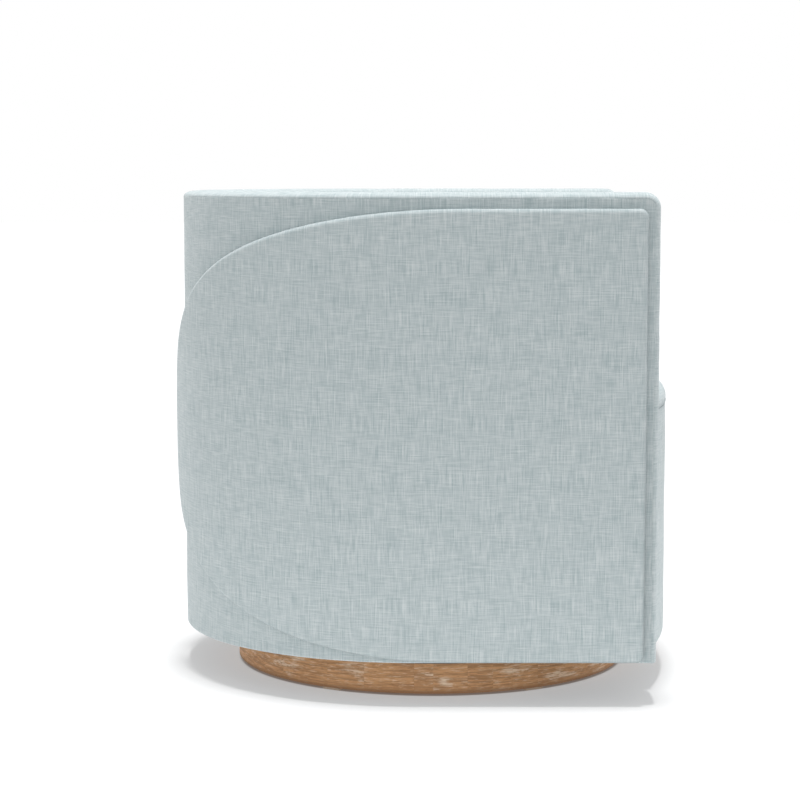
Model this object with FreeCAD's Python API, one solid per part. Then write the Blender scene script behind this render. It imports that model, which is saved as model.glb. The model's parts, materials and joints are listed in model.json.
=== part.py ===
"""Swivel barrel chair, in millimetres.

A U-shaped upholstered wall stands round a tight seat with a bowed front. Its whole body turns
on a ball bearing over a low round oak plinth. Two padded side overlays with elliptic ends wrap
round the back. +Z is up and the chair's front faces -Y. The origin is on the floor, below the
middle of the chair's width and depth. The sitter's left is +X.
"""

import FreeCAD
import Part
import math
import os

# Overall form
overall_height = 762.0      # floor to the crown of the top band
body_bottom = 63.2          # underside of the upholstered body
barrel_radius = 372.4       # outside of the wall's fabric, about the barrel centre
arm_reach = 360.7           # arm fronts, forward of the barrel centre
seat_reach = 406.0          # middle of the bowed seat front, forward of the barrel centre
front_bow_radius = 872.0    # plan radius of the seat front
swivel_forward = 27.6       # swivel axis, forward of the barrel centre

# Layers of the wall, from outside to inside
cover_pad = 8.0             # fabric over a thin pad, outside
outer_skin = 3.0            # bent hardboard
frame_depth = 60.0          # plywood rails
inner_skin = 3.0            # bent hardboard
inside_pad = 26.0           # foam and fabric, inside
inside_crown = 8.0          # how far the inside pads bulge
inside_edge = 4.0           # plain edge of the inside pads under the top seam

# Top band and arm fronts, one crowned strip round the edge of the wall
band_crown = 8.0            # crown above its seams
band_pad = 10.0             # pad under the seams, between the covers
roll_radius = 25.0          # where the band turns down over the arm front

# Side overlays
overlay_thickness = 14.2
overlay_board = 3.0         # bent plywood inside the overlay
overlay_board_inset = 5.0   # board edge, inside the pad's edge
overlay_front_reveal = 21.5  # wall left bare in front of the overlay
overlay_top_reveal = 24.0   # wall left bare above it, to the crown
overlay_bottom_reveal = 2.3  # wall left bare below it
overlay_tip_gap = 34.0      # tip of the ellipse, along the wall from the back centreline
overlay_ellipse_length = 634.0  # semi-axis of the ellipse along the wall
overlay_front_corner = 12.0
overlay_draw = 4.0          # how far the pad's sides draw in over its thickness
ellipse_sections = 8        # sections of the loft round a quarter of the ellipse
ellipse_tip_share = 0.06    # height of the tip's flat end, as a share of the overlay's

# Seat
support_height = 300.0      # top of the webbing
seat_edge_height = 457.0    # top of the seat at its front edge
seat_crown = 12.0
front_seam_height = 430.0   # seam between the seat pad and the front panel
seat_front_roll = 25.0
seat_side_roll = 10.0
seat_rim_slope = 0.12       # rise of the seat's top just inside its rolled rim
front_pad = 25.0            # thickness of the front panel
front_skin = 3.0            # bent hardboard behind it
seat_gap = 0.5              # seat to the inside of the wall

# Frame
board_thickness = 18.0      # plywood of the rails, bottom board and plinth deck
dust_cover_thickness = 1.5
dust_cover_margin = 10.0    # round the bearing, left open
post_angles = [-90, -45, 0, 45, 90]  # uprights, about the barrel centre from the back
post_width = 45.0
post_depth = 30.0
post_notch_gap = 0.5        # seat rail to the uprights it is notched round
arm_post_thickness = 45.0
front_rail_thickness = 22.0
front_rail_height = 60.0
front_sill_height = 40.0
stud_width = 45.0
stud_places = [-150.0, 0.0, 150.0]
corner_block_leg = 60.0
corner_block_height = 40.0
webbing_width = 50.0
webbing_thickness = 1.5
webbing_bearing = 27.0      # how far the webbing laps onto the seat rail
webbing_front_bearing = 15.0  # how far it laps onto the front rail
lengthwise_places = [-210.0, -105.0, 0.0, 105.0, 210.0]  # from the centreline
crosswise_places = [-165.0, -55.0, 55.0, 165.0]  # from the barrel centre

# Plinth
glide_thickness = 3.0
glide_length = 30.0
glide_width = 14.0
glide_count = 6
plinth_radius = 315.3
plinth_wall = 20.0
plinth_top = 50.0
plinth_ease = 3.0
cleat_count = 8
cleat_length = 50.0
cleat_section = 22.0

# Ball bearing of the swivel
ball_radius = 3.0
ball_count = 4
ball_pitch_radius = 134.0
ball_height = 7.0           # ball centres above the plinth's deck
race_gap = 5.0              # radial gap between the races
race_clearance = 0.3        # groove to ball
cage_clearance = 0.6        # cage to each race
cage_height = 8.0
pocket_clearance = 0.2      # cage pocket to ball
lower_race_width = 27.0
lower_race_height = 10.5
upper_race_width = 26.0
upper_race_lift = 4.0       # underside of the upper race above the plinth's deck
bolt_count = 3              # hexagon-headed bolts in each race
bolt_radius = 2.5
bolt_edge = 9.0             # bolt axis to the plain edge of its race
bolt_head_flats = 8.0       # across the flats of the head
bolt_head_height = 2.5
bolt_bite = 14.0            # bolt length in the wood

# Radii of the wall's layers about the barrel centre
cover_inner_radius = barrel_radius - cover_pad
frame_outer_radius = cover_inner_radius - outer_skin
frame_inner_radius = frame_outer_radius - frame_depth
pad_outer_radius = frame_inner_radius - inner_skin
seat_well_radius = pad_outer_radius - inside_pad
overlay_radius = barrel_radius + overlay_thickness
seat_radius = seat_well_radius - seat_gap

# Places in depth
develop_radius = barrel_radius + overlay_thickness / 2
tip_angle = overlay_tip_gap / develop_radius
overlay_back_reach = overlay_radius * math.cos(tip_angle)
barrel_y = (seat_reach - overlay_back_reach) / 2
swivel_y = barrel_y - swivel_forward
arm_front_y = barrel_y - arm_reach
arm_seam_y = arm_front_y + band_crown
arm_frame_y = arm_seam_y + band_pad
bow_centre_y = barrel_y - seat_reach + front_bow_radius
front_inset = front_pad + front_skin

# Heights
seam_height = overall_height - band_crown
frame_top = seam_height - band_pad
board_bottom = body_bottom + dust_cover_thickness
board_top = board_bottom + board_thickness
rail_under_band = frame_top - board_thickness
rail_top = support_height - 2 * webbing_thickness
deck_bottom = plinth_top - board_thickness
roll_height = overall_height - roll_radius

far = 2 * overall_height


def vec(x, y, z=0.0):
    return FreeCAD.Vector(x, y, z)


up = vec(0, 0, 1)
barrel_centre = vec(0, barrel_y)
swivel_centre = vec(0, swivel_y)
bow_centre = vec(0, bow_centre_y)


def line(start, end):
    return Part.LineSegment(start, end).toShape()


def arc(start, middle, end):
    return Part.Arc(start, middle, end).toShape()


def face_of(edges):
    return Part.Face(Part.Wire(edges))


def polygon(points):
    return Part.Face(Part.makePolygon(points + points[:1]))


def box(x_range, y_range, z_range):
    size = [high - low for low, high in (x_range, y_range, z_range)]
    return Part.makeBox(*size, vec(x_range[0], y_range[0], z_range[0]))


def disc(radius, z_low, z_high, centre):
    return Part.makeCylinder(radius, z_high - z_low, vec(centre.x, centre.y, z_low))


def ring(outer, inner, z_low, z_high, centre):
    return disc(outer, z_low, z_high, centre).cut(disc(inner, z_low, z_high, centre))


def turned(face, centre, angle=360.0):
    """The face turned about the vertical line through the centre."""
    return face.revolve(centre, up, angle)


def placed(shape, angle, centre):
    """A copy of the shape, turned about the vertical line through the centre."""
    copy = shape.copy()
    copy.rotate(centre, up, angle)
    return copy


def ring_of(shape, count):
    """Copies of the shape, evenly round the swivel axis."""
    shape.translate(swivel_centre)
    return [placed(shape, 360.0 * k / count, swivel_centre) for k in range(count)]


def mirrored(shape):
    return shape.mirror(vec(0, 0), vec(1, 0))


def joined(shapes):
    return shapes[0].fuse(shapes[1:]).removeSplitter()


# Plans that follow the wall

def d_face(radius, y_end):
    """Half disc with straight sides that run forward to y_end."""
    left = vec(-radius, barrel_y)
    right = vec(radius, barrel_y)
    return face_of([
        line(vec(-radius, y_end), left),
        arc(left, vec(0, barrel_y + radius), right),
        line(right, vec(radius, y_end)),
        line(vec(radius, y_end), vec(-radius, y_end)),
    ])


def d_plate(radius, y_end, z_low, z_high):
    face = d_face(radius, y_end)
    face.translate(vec(0, 0, z_low))
    return face.extrude(vec(0, 0, z_high - z_low))


def u_band(outer, inner, y_end, z_low, z_high):
    """Upright band that follows the wall between two radii."""
    return d_plate(outer, y_end, z_low, z_high).cut(d_plate(inner, y_end, z_low, z_high))


def side_envelope(inset):
    """Side view of the wall, inset all round, with the rolled corner over the arm front."""
    y = arm_front_y + inset
    z = overall_height - inset
    corner = roll_radius - inset
    bend = corner * (1 - math.sqrt(0.5))
    profile = face_of([
        line(vec(-far, y, 0), vec(-far, y, z - corner)),
        arc(vec(-far, y, z - corner), vec(-far, y + bend, z - bend), vec(-far, y + corner, z)),
        line(vec(-far, y + corner, z), vec(-far, far, z)),
        line(vec(-far, far, z), vec(-far, far, 0)),
        line(vec(-far, far, 0), vec(-far, y, 0)),
    ])
    return profile.extrude(vec(2 * far, 0, 0))


def front_disc(inset, z_low, z_high):
    """Everything behind the bowed seat front, inset from it."""
    return disc(front_bow_radius - inset, z_low, z_high, bow_centre)


def bowed_plate(radius, inset, z_low, z_high):
    """Plate that fills the wall to a radius, with the seat's bowed front edge."""
    return d_plate(radius, -far, z_low, z_high).common(front_disc(inset, z_low, z_high))


def bowed_board(half_width, inset, thickness, z_low, z_high):
    """Board that follows the seat's bowed front."""
    board = ring(front_bow_radius - inset, front_bow_radius - inset - thickness,
                 z_low, z_high, bow_centre)
    return board.common(box((-half_width, half_width), (-far, barrel_y), (z_low, z_high)))


# Plinth

def plinth_ring():
    """Oak ring whose outer rim is eased at the floor."""
    outer = plinth_radius
    inner = plinth_radius - plinth_wall
    low = glide_thickness
    section = polygon([
        vec(inner, 0, low),
        vec(outer - plinth_ease, 0, low),
        vec(outer, 0, low + plinth_ease),
        vec(outer, 0, plinth_top),
        vec(inner, 0, plinth_top),
    ])
    section.translate(swivel_centre)
    return turned(section, swivel_centre)


def plinth_deck():
    deck = disc(plinth_radius - plinth_wall, deck_bottom, plinth_top, swivel_centre)
    return deck.cut(lower_race_bolts())


def deck_cleats():
    inner = plinth_radius - plinth_wall
    cleat = box((inner - cleat_section, inner), (-cleat_length / 2, cleat_length / 2),
                (deck_bottom - cleat_section, deck_bottom))
    cleat = cleat.common(disc(inner, 0, plinth_top, vec(0, 0)))
    return Part.makeCompound(ring_of(cleat, cleat_count))


def floor_glides():
    middle = plinth_radius - plinth_wall / 2
    glide = box((-glide_length / 2, glide_length / 2),
                (middle - glide_width / 2, middle + glide_width / 2), (0, glide_thickness))
    return Part.makeCompound(ring_of(glide, glide_count))


# Ball bearing

ball_z = plinth_top + ball_height
lower_race_inner = ball_pitch_radius + race_gap / 2
upper_race_outer = ball_pitch_radius - race_gap / 2
lower_bolt_radius = lower_race_inner + lower_race_width - bolt_edge
upper_bolt_radius = upper_race_outer - upper_race_width + bolt_edge


def ball_groove():
    """Square-cornered track that the balls run in, turned on its corner, with clearance."""
    reach = (ball_radius + race_clearance) * math.sqrt(2)
    section = polygon([
        vec(ball_pitch_radius - reach, 0, ball_z),
        vec(ball_pitch_radius, 0, ball_z - reach),
        vec(ball_pitch_radius + reach, 0, ball_z),
        vec(ball_pitch_radius, 0, ball_z + reach),
    ])
    section.translate(swivel_centre)
    return turned(section, swivel_centre)


def race_bolts(radius, head_z, way):
    """Ring of bolts seated at head_z that point up (way 1) or down (way -1) into the wood."""
    corner = vec(bolt_head_flats / math.sqrt(3), 0)
    hexagon = polygon([FreeCAD.Rotation(up, 60 * k).multVec(corner) for k in range(6)])
    head = hexagon.extrude(vec(0, 0, -way * bolt_head_height))
    wood_z = board_bottom if way > 0 else plinth_top
    length = abs(wood_z - head_z) + bolt_bite
    shank = Part.makeCylinder(bolt_radius, length, vec(0, 0), vec(0, 0, way))
    bolt = head.fuse(shank)
    bolt.translate(vec(radius, 0, head_z))
    return Part.makeCompound(ring_of(bolt, bolt_count))


def lower_race_bolts():
    return race_bolts(lower_bolt_radius, plinth_top + lower_race_height, -1)


def upper_race_bolts():
    return race_bolts(upper_bolt_radius, plinth_top + upper_race_lift, 1)


def lower_race():
    race = ring(lower_race_inner + lower_race_width, lower_race_inner,
                plinth_top, plinth_top + lower_race_height, swivel_centre)
    return race.cut([ball_groove(), lower_race_bolts()])


def upper_race():
    race = ring(upper_race_outer, upper_race_outer - upper_race_width,
                plinth_top + upper_race_lift, board_bottom, swivel_centre)
    return race.cut([ball_groove(), upper_race_bolts()])


def bearing_balls():
    ball = Part.makeSphere(ball_radius, vec(ball_pitch_radius, 0, ball_z))
    return Part.makeCompound(ring_of(ball, ball_count))


def ball_cage():
    """Ring between the races with a square window for each ball."""
    half_wall = race_gap / 2 - cage_clearance
    cage = ring(ball_pitch_radius + half_wall, ball_pitch_radius - half_wall,
                ball_z - cage_height / 2, ball_z + cage_height / 2, swivel_centre)
    half = ball_radius + pocket_clearance
    window = box((ball_pitch_radius - race_gap, ball_pitch_radius + race_gap),
                 (-half, half), (ball_z - half, ball_z + half))
    return cage.cut(ring_of(window, ball_count))


# Frame of the body

def between_arms(z_low, z_high):
    return box((-frame_inner_radius, frame_inner_radius), (-far, far), (z_low, z_high))


def floor_plate(radius, front_inset, z_low, z_high):
    """Plate under the whole body, bowed between the arms and straight below them."""
    middle = bowed_plate(radius, front_inset, z_low, z_high).common(between_arms(z_low, z_high))
    arms = d_plate(radius, arm_frame_y, z_low, z_high).cut(between_arms(z_low, z_high))
    return joined([middle, arms])


def bottom_board():
    board = floor_plate(frame_outer_radius, front_inset, board_bottom, board_top)
    return board.cut(upper_race_bolts())


def dust_cover():
    cover = floor_plate(cover_inner_radius, front_pad, body_bottom, board_bottom)
    opening = lower_race_inner + lower_race_width + dust_cover_margin
    return cover.cut(disc(opening, body_bottom, board_bottom, swivel_centre))


def upright(half_width, y_range, angle):
    """Square upright over the bottom board, turned to its place round the back."""
    block = box((-half_width, half_width), y_range, (board_top, rail_under_band))
    block.translate(barrel_centre)
    return placed(block, angle, barrel_centre)


post_back = math.sqrt(frame_outer_radius ** 2 - (post_width / 2) ** 2)


def back_posts():
    y_range = (post_back - post_depth, post_back)
    return Part.makeCompound([upright(post_width / 2, y_range, a) for a in post_angles])


def post_notches():
    half = post_width / 2 + post_notch_gap
    y_range = (post_back - post_depth - post_notch_gap, overlay_radius)
    return [upright(half, y_range, a) for a in post_angles]


def arm_post():
    return box((frame_inner_radius, frame_outer_radius),
               (arm_frame_y, arm_frame_y + arm_post_thickness), (board_top, rail_under_band))


def seat_rail():
    rail = u_band(frame_outer_radius, frame_inner_radius, arm_frame_y + arm_post_thickness,
                  rail_top - board_thickness, rail_top)
    return rail.cut(post_notches())


def top_rail():
    rail = u_band(frame_outer_radius, frame_inner_radius, arm_frame_y, rail_under_band, frame_top)
    return rail.common(side_envelope(band_crown + band_pad))


def front_rail():
    return bowed_board(frame_inner_radius, front_inset, front_rail_thickness,
                       rail_top - front_rail_height, rail_top)


def front_sill():
    return bowed_board(frame_inner_radius, front_inset, front_rail_thickness,
                       board_top, board_top + front_sill_height)


def front_studs():
    wall = bowed_board(frame_inner_radius, front_inset, front_rail_thickness,
                       board_top + front_sill_height, rail_top - front_rail_height)
    half = stud_width / 2
    studs = []
    for x in stud_places:
        studs.append(wall.common(box((x - half, x + half), (-far, far), (0, far))))
    return Part.makeCompound(studs)


def corner_blocks():
    """Glue blocks in the corners between the front rail and the seat rail."""
    low = rail_top - corner_block_height
    edge = frame_inner_radius
    rail_back = front_inset + front_rail_thickness
    corner = bow_centre_y - math.sqrt((front_bow_radius - rail_back) ** 2 - edge ** 2)
    face = polygon([
        vec(edge, corner - corner_block_leg, low),
        vec(edge, corner + corner_block_leg, low),
        vec(edge - corner_block_leg, corner, low),
        vec(edge - corner_block_leg, corner - corner_block_leg, low),
    ])
    block = face.extrude(vec(0, 0, corner_block_height)).common(
        front_disc(rail_back, low, rail_top))
    return Part.makeCompound([block, mirrored(block)])


def webbing_field(z_low, z_high):
    front = front_inset + front_rail_thickness - webbing_front_bearing
    return bowed_plate(frame_inner_radius + webbing_bearing, front, z_low, z_high)


def webbing_lengthwise():
    low = rail_top
    high = rail_top + webbing_thickness
    field = webbing_field(low, high)
    half = webbing_width / 2
    bands = []
    for x in lengthwise_places:
        bands.append(field.common(box((x - half, x + half), (-far, far), (low, high))))
    return Part.makeCompound(bands)


def webbing_crosswise():
    low = rail_top + webbing_thickness
    high = support_height
    field = webbing_field(low, high)
    half = webbing_width / 2
    bands = []
    for place in crosswise_places:
        y = barrel_y + place
        bands.append(field.common(box((-far, far), (y - half, y + half), (low, high))))
    return Part.makeCompound(bands)


def outer_panel():
    panel = u_band(cover_inner_radius, frame_outer_radius, arm_frame_y, board_bottom, frame_top)
    return panel.common(side_envelope(band_crown + band_pad))


def inner_panel():
    panel = u_band(frame_inner_radius, pad_outer_radius, arm_frame_y, support_height, frame_top)
    return panel.common(side_envelope(band_crown + band_pad))


def front_board():
    return bowed_board(frame_inner_radius, front_pad, front_skin, board_bottom, support_height)


# Upholstery of the wall

def outer_cover():
    cover = u_band(barrel_radius, cover_inner_radius, arm_seam_y, body_bottom, seam_height)
    return cover.common(side_envelope(band_crown))


def inside_profile():
    """Section of the inside pads, crowned above the seat and drawn in at both ends."""
    crown_low = seat_edge_height + seat_crown
    crown_high = seam_height - inside_edge
    crown_middle = (crown_low + crown_high) / 2
    inner = seat_well_radius
    return face_of([
        line(vec(pad_outer_radius, barrel_y, support_height),
             vec(pad_outer_radius, barrel_y, seam_height)),
        line(vec(pad_outer_radius, barrel_y, seam_height), vec(inner, barrel_y, seam_height)),
        line(vec(inner, barrel_y, seam_height), vec(inner, barrel_y, crown_high)),
        arc(vec(inner, barrel_y, crown_high),
            vec(inner - inside_crown, barrel_y, crown_middle),
            vec(inner, barrel_y, crown_low)),
        line(vec(inner, barrel_y, crown_low), vec(inner, barrel_y, support_height)),
        line(vec(inner, barrel_y, support_height),
             vec(pad_outer_radius, barrel_y, support_height)),
    ])


def inside_back_pad():
    return turned(inside_profile(), barrel_centre, 180)


def inside_arm_pad():
    face = inside_profile()
    face.translate(vec(0, arm_seam_y - barrel_y))
    return face.extrude(vec(0, barrel_y - arm_seam_y)).common(side_envelope(band_crown))


def band_profile():
    """Section of the top band: a crown from seam to seam, on a pad between the covers."""
    middle = (barrel_radius + seat_well_radius) / 2
    return face_of([
        arc(vec(barrel_radius, barrel_y, seam_height), vec(middle, barrel_y, overall_height),
            vec(seat_well_radius, barrel_y, seam_height)),
        line(vec(seat_well_radius, barrel_y, seam_height),
             vec(pad_outer_radius, barrel_y, seam_height)),
        line(vec(pad_outer_radius, barrel_y, seam_height),
             vec(pad_outer_radius, barrel_y, frame_top)),
        line(vec(pad_outer_radius, barrel_y, frame_top),
             vec(cover_inner_radius, barrel_y, frame_top)),
        line(vec(cover_inner_radius, barrel_y, frame_top),
             vec(cover_inner_radius, barrel_y, seam_height)),
        line(vec(cover_inner_radius, barrel_y, seam_height),
             vec(barrel_radius, barrel_y, seam_height)),
    ])


def band_at_roll():
    """The band's section where it starts to roll down over the arm front."""
    face = band_profile()
    face.translate(vec(0, arm_front_y + roll_radius - barrel_y))
    return face


def top_band():
    back = turned(band_profile(), barrel_centre, 180)
    arm = band_at_roll().extrude(vec(0, barrel_y - arm_front_y - roll_radius))
    roll = band_at_roll().revolve(vec(0, arm_front_y + roll_radius, roll_height), vec(1, 0), 90)
    side = joined([arm, roll])
    return joined([back, side, mirrored(side)])


def arm_front():
    face = band_at_roll()
    face.rotate(vec(0, arm_front_y + roll_radius, roll_height), vec(1, 0), 90)
    return face.extrude(vec(0, 0, body_bottom - roll_height))


# Side overlays

def wall_point(along, height, radius):
    """Point on the wall, at a length along it from the back centreline, on the left."""
    bend = develop_radius * math.pi / 2
    if along >= bend:
        return vec(radius, barrel_y - (along - bend), height)
    angle = along / develop_radius
    return vec(radius * math.sin(angle), barrel_y + radius * math.cos(angle), height)


overlay_top = overall_height - overlay_top_reveal
overlay_bottom = body_bottom + overlay_bottom_reveal
overlay_middle = (overlay_top + overlay_bottom) / 2
overlay_half = (overlay_top - overlay_bottom) / 2
ellipse_start = overlay_tip_gap + overlay_ellipse_length
ellipse_start_y = wall_point(ellipse_start, 0, 0).y


def overlay_section(turn, inset, thickness, draw):
    """Upright section of the overlay at one turn of its ellipse, wider than the pad."""
    along = ellipse_start - (overlay_ellipse_length - inset) * math.sin(turn)
    half = (overlay_half - inset) * math.cos(turn)
    inner = barrel_radius - thickness
    outer = barrel_radius + 2 * thickness
    return Part.makePolygon([
        wall_point(along, overlay_middle - half - draw, inner),
        wall_point(along, overlay_middle - half + 2 * draw, outer),
        wall_point(along, overlay_middle + half - 2 * draw, outer),
        wall_point(along, overlay_middle + half + draw, inner),
        wall_point(along, overlay_middle - half - draw, inner),
    ])


def overlay_front_outline(x, inset):
    """Outline of the overlay's straight front part, with its two round corners."""
    top = overlay_top - inset
    low = overlay_bottom + inset
    front = arm_front_y + overlay_front_reveal + inset
    corner = overlay_front_corner
    bend = corner * (1 - math.sqrt(0.5))
    return Part.Wire([
        line(vec(x, ellipse_start_y, low), vec(x, front + corner, low)),
        arc(vec(x, front + corner, low), vec(x, front + bend, low + bend),
            vec(x, front, low + corner)),
        line(vec(x, front, low + corner), vec(x, front, top - corner)),
        arc(vec(x, front, top - corner), vec(x, front + bend, top - bend),
            vec(x, front + corner, top)),
        line(vec(x, front + corner, top), vec(x, ellipse_start_y, top)),
        line(vec(x, ellipse_start_y, top), vec(x, ellipse_start_y, low)),
    ])


def overlay_blank(thickness, inset, draw):
    """Layer on the wall inside the overlay's outline, with sides that draw in."""
    turns = [math.pi / 2 * k / ellipse_sections for k in range(ellipse_sections)]
    turns.append(math.acos(ellipse_tip_share))
    tongue = Part.makeLoft([overlay_section(t, inset, thickness, draw) for t in turns], True)
    front = Part.makeLoft([
        overlay_front_outline(barrel_radius - thickness, inset - draw),
        overlay_front_outline(barrel_radius + 2 * thickness, inset + 2 * draw),
    ], True, True)
    layer = u_band(barrel_radius + thickness, barrel_radius, arm_front_y, 0, overall_height)
    return joined([layer.common(front), layer.common(tongue)])


def overlay_backing():
    return overlay_blank(overlay_board, overlay_board_inset, 0.0)


def overlay_pad():
    return overlay_blank(overlay_thickness, 0.0, overlay_draw).cut(overlay_backing())


# Seat

def seat_foam():
    return bowed_plate(seat_radius, front_pad, support_height, front_seam_height)


def round_rim(start, middle, end):
    return [arc(start, middle, end)]


def flat_rim(start, middle, end):
    return [line(start, middle), line(middle, end)]


def rolled_section(radius, roll, rim):
    """Half section of a slab whose top rim is rolled and then rises towards the middle."""
    low = front_seam_height
    top = seat_edge_height
    bend = roll * (1 - math.sqrt(0.5))
    peak = top + (radius - roll) * seat_rim_slope
    return face_of([
        line(vec(0, 0, low), vec(radius, 0, low)),
        line(vec(radius, 0, low), vec(radius, 0, top - roll)),
        *rim(vec(radius, 0, top - roll), vec(radius - bend, 0, top - bend),
             vec(radius - roll, 0, top)),
        line(vec(radius - roll, 0, top), vec(0, 0, peak)),
        line(vec(0, 0, peak), vec(0, 0, low)),
    ])


def rolled_front():
    """Slab behind the bowed front, rolled along it."""
    section = rolled_section(front_bow_radius, seat_front_roll, round_rim)
    section.translate(bow_centre)
    return turned(section, bow_centre)


def rolled_well():
    """Slab that fills the seat well, rolled along the wall."""
    section = rolled_section(seat_radius, seat_side_roll, flat_rim)
    section.translate(barrel_centre)
    back = turned(section, barrel_centre, 180)
    side = section.extrude(vec(0, -far))
    return joined([back, side, mirrored(side)])


def seat_pad():
    """Crowned top of the seat, rolled over its front edge and along the wall."""
    front_y = barrel_y - seat_reach
    back_y = barrel_y + seat_radius
    half_depth = (back_y - front_y) / 2
    dome_radius = (half_depth ** 2 + seat_crown ** 2) / (2 * seat_crown)
    dome_z = seat_edge_height + seat_crown - dome_radius
    dome = Part.makeSphere(dome_radius, vec(0, (front_y + back_y) / 2, dome_z), vec(1, 0))
    return rolled_well().common(rolled_front()).common(dome)


def front_panel():
    return bowed_board(seat_radius, 0.0, front_pad, body_bottom, front_seam_height)


pieces = {
    "plinth_ring": plinth_ring,
    "plinth_deck": plinth_deck,
    "deck_cleats": deck_cleats,
    "floor_glides": floor_glides,
    "lower_race": lower_race,
    "lower_race_bolts": lower_race_bolts,
    "ball_cage": ball_cage,
    "bearing_balls": bearing_balls,
    "upper_race": upper_race,
    "upper_race_bolts": upper_race_bolts,
    "bottom_board": bottom_board,
    "dust_cover": dust_cover,
    "back_posts": back_posts,
    "arm_post_left": arm_post,
    "arm_post_right": lambda: mirrored(arm_post()),
    "seat_rail": seat_rail,
    "top_rail": top_rail,
    "front_rail": front_rail,
    "front_sill": front_sill,
    "front_studs": front_studs,
    "corner_blocks": corner_blocks,
    "webbing_lengthwise": webbing_lengthwise,
    "webbing_crosswise": webbing_crosswise,
    "outer_panel": outer_panel,
    "inner_panel": inner_panel,
    "front_board": front_board,
    "outer_cover": outer_cover,
    "inside_back_pad": inside_back_pad,
    "inside_arm_pad_left": inside_arm_pad,
    "inside_arm_pad_right": lambda: mirrored(inside_arm_pad()),
    "top_band": top_band,
    "arm_front_left": arm_front,
    "arm_front_right": lambda: mirrored(arm_front()),
    "overlay_board_left": overlay_backing,
    "overlay_board_right": lambda: mirrored(overlay_backing()),
    "overlay_pad_left": overlay_pad,
    "overlay_pad_right": lambda: mirrored(overlay_pad()),
    "seat_foam": seat_foam,
    "seat_pad": seat_pad,
    "front_panel": front_panel,
}

os.makedirs("parts", exist_ok=True)
for name, make in pieces.items():
    shape = make()
    assert shape.isValid(), name + " is not a valid solid"
    print(name, len(shape.Solids), "solid(s),", round(shape.Volume / 1000, 1), "cm3")
    shape.exportStep("parts/" + name + ".step")
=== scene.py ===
"""Dressed model of a swivel barrel chair on a low round oak plinth.

Every length is in metres. The chair stands on z = 0, its open front faces -Y, and the sitter's
left is +X. The upholstery is built as crowned closed pads over the frame, the fabric's weave
follows each pad's own UV map, and the oak ring keeps its solid and gets its limed grain.
"""

import json
import math

import bmesh
import bpy
import numpy as np
from mathutils import Matrix, Vector, noise


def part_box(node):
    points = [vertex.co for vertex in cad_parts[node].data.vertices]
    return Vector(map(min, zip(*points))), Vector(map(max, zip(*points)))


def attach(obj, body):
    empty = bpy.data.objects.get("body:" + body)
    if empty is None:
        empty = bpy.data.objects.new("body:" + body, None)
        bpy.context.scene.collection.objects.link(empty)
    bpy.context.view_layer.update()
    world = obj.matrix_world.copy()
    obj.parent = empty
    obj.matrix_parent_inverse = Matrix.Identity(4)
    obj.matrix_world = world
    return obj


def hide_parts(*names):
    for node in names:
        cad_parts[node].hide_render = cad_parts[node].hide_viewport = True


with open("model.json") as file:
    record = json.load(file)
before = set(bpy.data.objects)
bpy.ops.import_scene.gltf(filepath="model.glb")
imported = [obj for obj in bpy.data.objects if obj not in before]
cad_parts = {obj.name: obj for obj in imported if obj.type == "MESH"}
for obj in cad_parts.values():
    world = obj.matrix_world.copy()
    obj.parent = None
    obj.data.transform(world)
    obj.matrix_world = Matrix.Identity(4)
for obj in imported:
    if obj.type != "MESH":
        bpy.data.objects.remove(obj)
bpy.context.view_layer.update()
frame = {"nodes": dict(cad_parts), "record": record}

bl_info = {
    "name": "Swivel barrel chair",
    "version": (1, 0, 0),
    "blender": (4, 5, 0),
    "location": "View3D > Sidebar > Barrel chair",
    "description": "Upholstery, oak and bearing of a swivel barrel chair",
    "category": "Object",
}

# Sizes read from the solids
cover_low, cover_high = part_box("outer_cover")
arm_low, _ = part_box("arm_front_left")
seat_low, seat_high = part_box("seat_pad")
ring_low, ring_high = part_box("plinth_ring")
BARREL_RADIUS = cover_high[0]
BARREL_Y = cover_high[1] - BARREL_RADIUS
BODY_BOTTOM = cover_low[2]
SEAM_HEIGHT = cover_high[2]
ARM_SEAM_Y = cover_low[1]
ARM_FRONT_Y = arm_low[1]
WELL_RADIUS = arm_low[0]
TOP_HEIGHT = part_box("top_band")[1][2]
PAD_BACK_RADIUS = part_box("inside_arm_pad_left")[1][0]
SEAT_LOW = seat_low[2]
SEAT_HALF = seat_high[0]
SEAT_FRONT_Y = seat_low[1]
PANEL_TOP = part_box("front_panel")[1][2]
SWIVEL_Y = (ring_low[1] + ring_high[1]) / 2
RING_RADIUS = ring_high[0]
BEND = BARREL_RADIUS * math.pi / 2      # the wall's bend on each side, along the wall
PAD_STEP = 0.0125                       # grid of a pad on the wall


# Sizes and colours that a user would change

def amount(name, description, default, low, high, **kind):
    return bpy.props.FloatProperty(name=name, description=description, default=default,
                                   min=low, max=high, **kind)


def length(name, description, default, low, high):
    return amount(name, description, default, low, high, unit="LENGTH")


def tone_of(name, description, default):
    return bpy.props.FloatVectorProperty(name=name, description=description, default=default,
                                         subtype="COLOR", min=0.0, max=1.0)


class ChairWallSettings(bpy.types.PropertyGroup):
    """Outside of the wall and the strip over its edge."""

    cover_thickness: length("Cover thickness", "Fabric and pad on the outside of the wall",
                            0.008, 0.002, 0.03)
    seam_rounding: length("Seam rounding", "Radius at which the fabric turns into a seam",
                          0.0022, 0.0005, 0.01)
    strip_crown: length("Strip crown", "Height of the top strip over its seams",
                        TOP_HEIGHT - SEAM_HEIGHT, 0.0, 0.03)
    roll_radius: length("Roll radius", "Radius of the strip's seams where it turns down",
                        0.015, 0.005, 0.05)
    softness: length("Softness", "Depth of the slight waves in the stretched fabric",
                     0.0006, 0.0, 0.005)


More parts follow.
